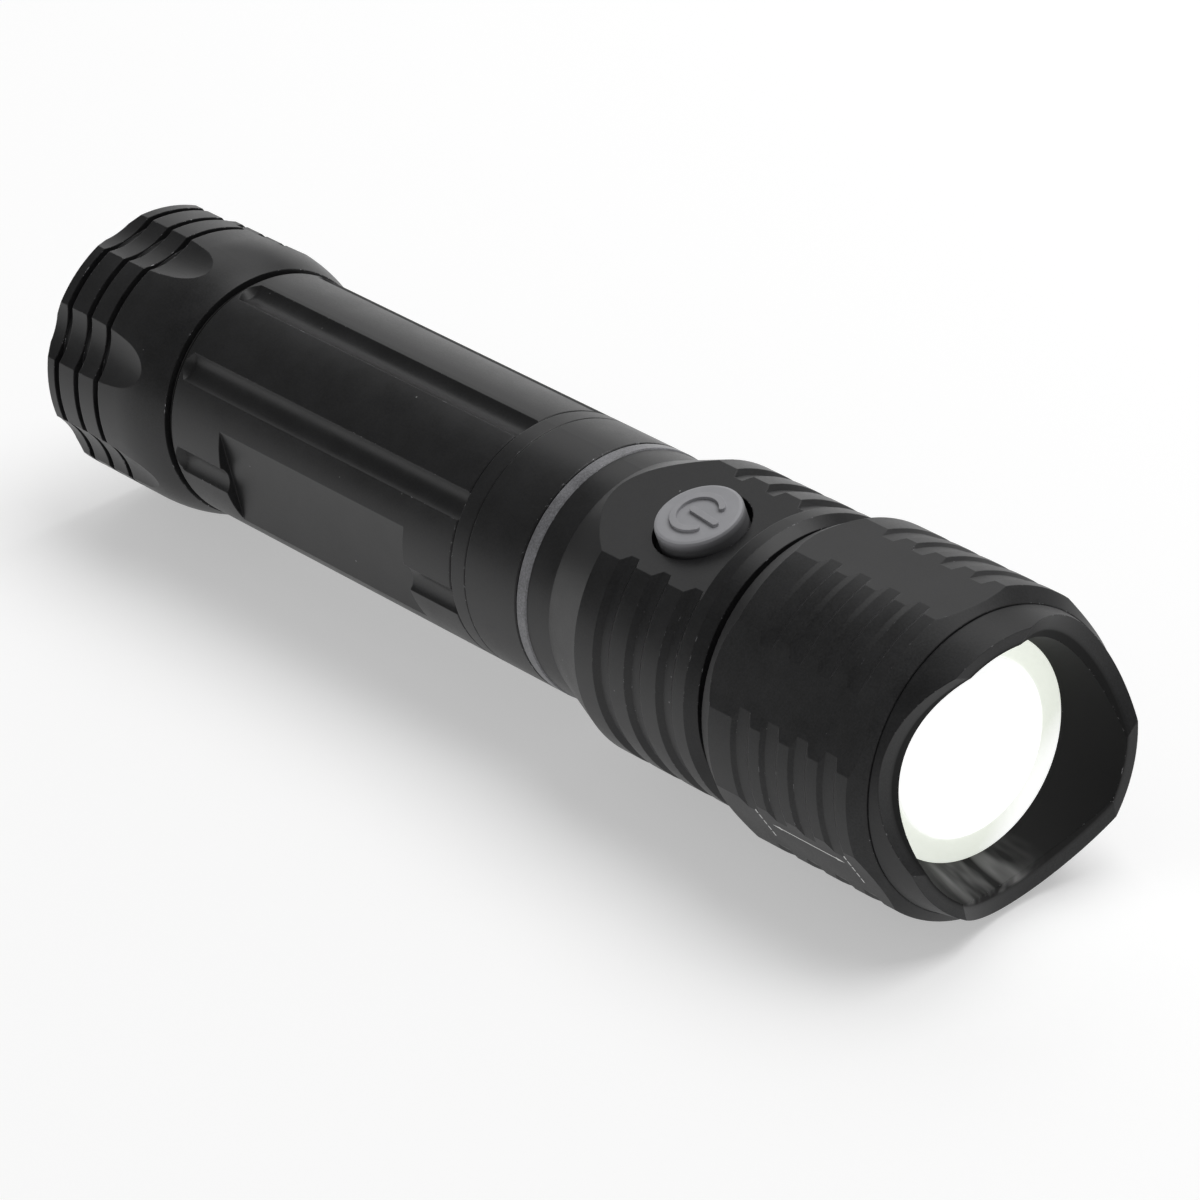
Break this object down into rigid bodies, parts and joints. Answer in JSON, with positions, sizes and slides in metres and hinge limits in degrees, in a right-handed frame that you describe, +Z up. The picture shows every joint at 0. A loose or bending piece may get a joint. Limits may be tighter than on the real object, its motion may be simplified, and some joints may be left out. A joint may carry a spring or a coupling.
{
  "type": "focusing hand torch",
  "caption": "Black anodised hand torch with a fluted screw tail cap, channelled battery tube, smooth collar, side button and a sliding ribbed zoom head with a scalloped bezel and domed lens",
  "frame": {"origin": "middle of the base: below the middle of the length, on the plane of the head's lowest flat", "axes": "+X runs along the torch from the tail cap to the lens, +Z is up through a head flat, and the button looks up and towards -Y"},
  "size_m": [0.1664, 0.0404, 0.039],
  "materials": {
    "black_anodised": "satin black anodised",
    "grey_anodised": "satin grey anodised",
    "grey_rubber": "matt silicone",
    "black_rubber": "matt",
    "spring_steel": "bright wire",
    "screw_steel": "machined",
    "brass": "machined",
    "circuit_board": "solder mask over fibreglass",
    "white_board": "white solder mask",
    "black_plastic": "moulded",
    "white_plastic": "moulded",
    "cell_wrap": "printed film over a steel can",
    "wire_cover": "silicone",
    "emitter": "clear silicone over phosphor",
    "clear_lens": "polished, frosted rim"
  },
  "bodies": {
    "tube": {"tail_o_ring": "black_rubber", "battery_tube": "black_anodised", "carrier_rear_plate": "black_plastic", "carrier_front_plate": "black_plastic", "carrier_spine": "black_plastic", "carrier_screws": "screw_steel", "carrier_contacts": "brass", "carrier_springs": "spring_steel", "cell_1": "cell_wrap", "cell_2": "cell_wrap", "cell_3": "cell_wrap", "cell_4": "cell_wrap", "tube_o_ring": "black_rubber", "lock_ring": "black_anodised", "collar": "black_anodised", "trim_ring": "grey_anodised", "switch_housing": "black_anodised", "contact_board": "circuit_board", "contact_ring": "brass", "contact_spring": "spring_steel", "battery_wires": "wire_cover", "driver_board": "circuit_board", "driver_parts": "black_plastic", "switch_frame": "black_plastic", "switch_board": "circuit_board", "switch_screws": "screw_steel", "tact_switch": "black_plastic", "button_boot": "black_rubber", "button_seat": "black_plastic", "guide_barrel": "black_anodised", "barrel_o_ring": "black_rubber", "slide_o_ring": "black_rubber", "stop_ring": "spring_steel", "led_pill": "brass", "pill_ring": "black_anodised", "led_board": "white_board", "led_emitter": "emitter", "led_screws": "screw_steel", "led_wires": "wire_cover"},
    "cap_slide": {"tail_spring": "spring_steel"},
    "cap": {"tail_cap": "black_anodised", "tail_ring": "brass", "tail_board": "circuit_board"},
    "button": {"button": "grey_rubber", "switch_plunger": "white_plastic"},
    "head": {"zoom_head": "black_anodised", "lens_seat": "black_anodised", "lens_gasket": "black_rubber", "lens": "clear_lens", "bezel_ring": "black_anodised", "bezel_o_ring": "black_rubber"}
  },
  "joints": [
    {"name": "cap_travel", "type": "slide", "parent": "tube", "child": "cap_slide", "axis": [-1, 0, 0], "range_m": [0, 0.00605]},
    {"name": "cap_turn", "type": "hinge", "parent": "cap_slide", "child": "cap", "pos_m": [-0.0712, 0, 0.0195], "axis": [-1, 0, 0], "range_deg": [0, 1440]},
    {"name": "head_slide", "type": "slide", "parent": "tube", "child": "head", "axis": [1, 0, 0], "range_m": [0, 0.007]},
    {"name": "button_press", "type": "slide", "parent": "tube", "child": "button", "axis": [0, 0.2504, -0.9681], "range_m": [0, 0.0012], "stiffness_N_per_m": 2000, "springref_m": -0.0002}
  ],
  "couplings": [
    {"joint": "cap_travel", "follows": "cap_turn", "m_per_rad": 0.00023873}
  ]
}
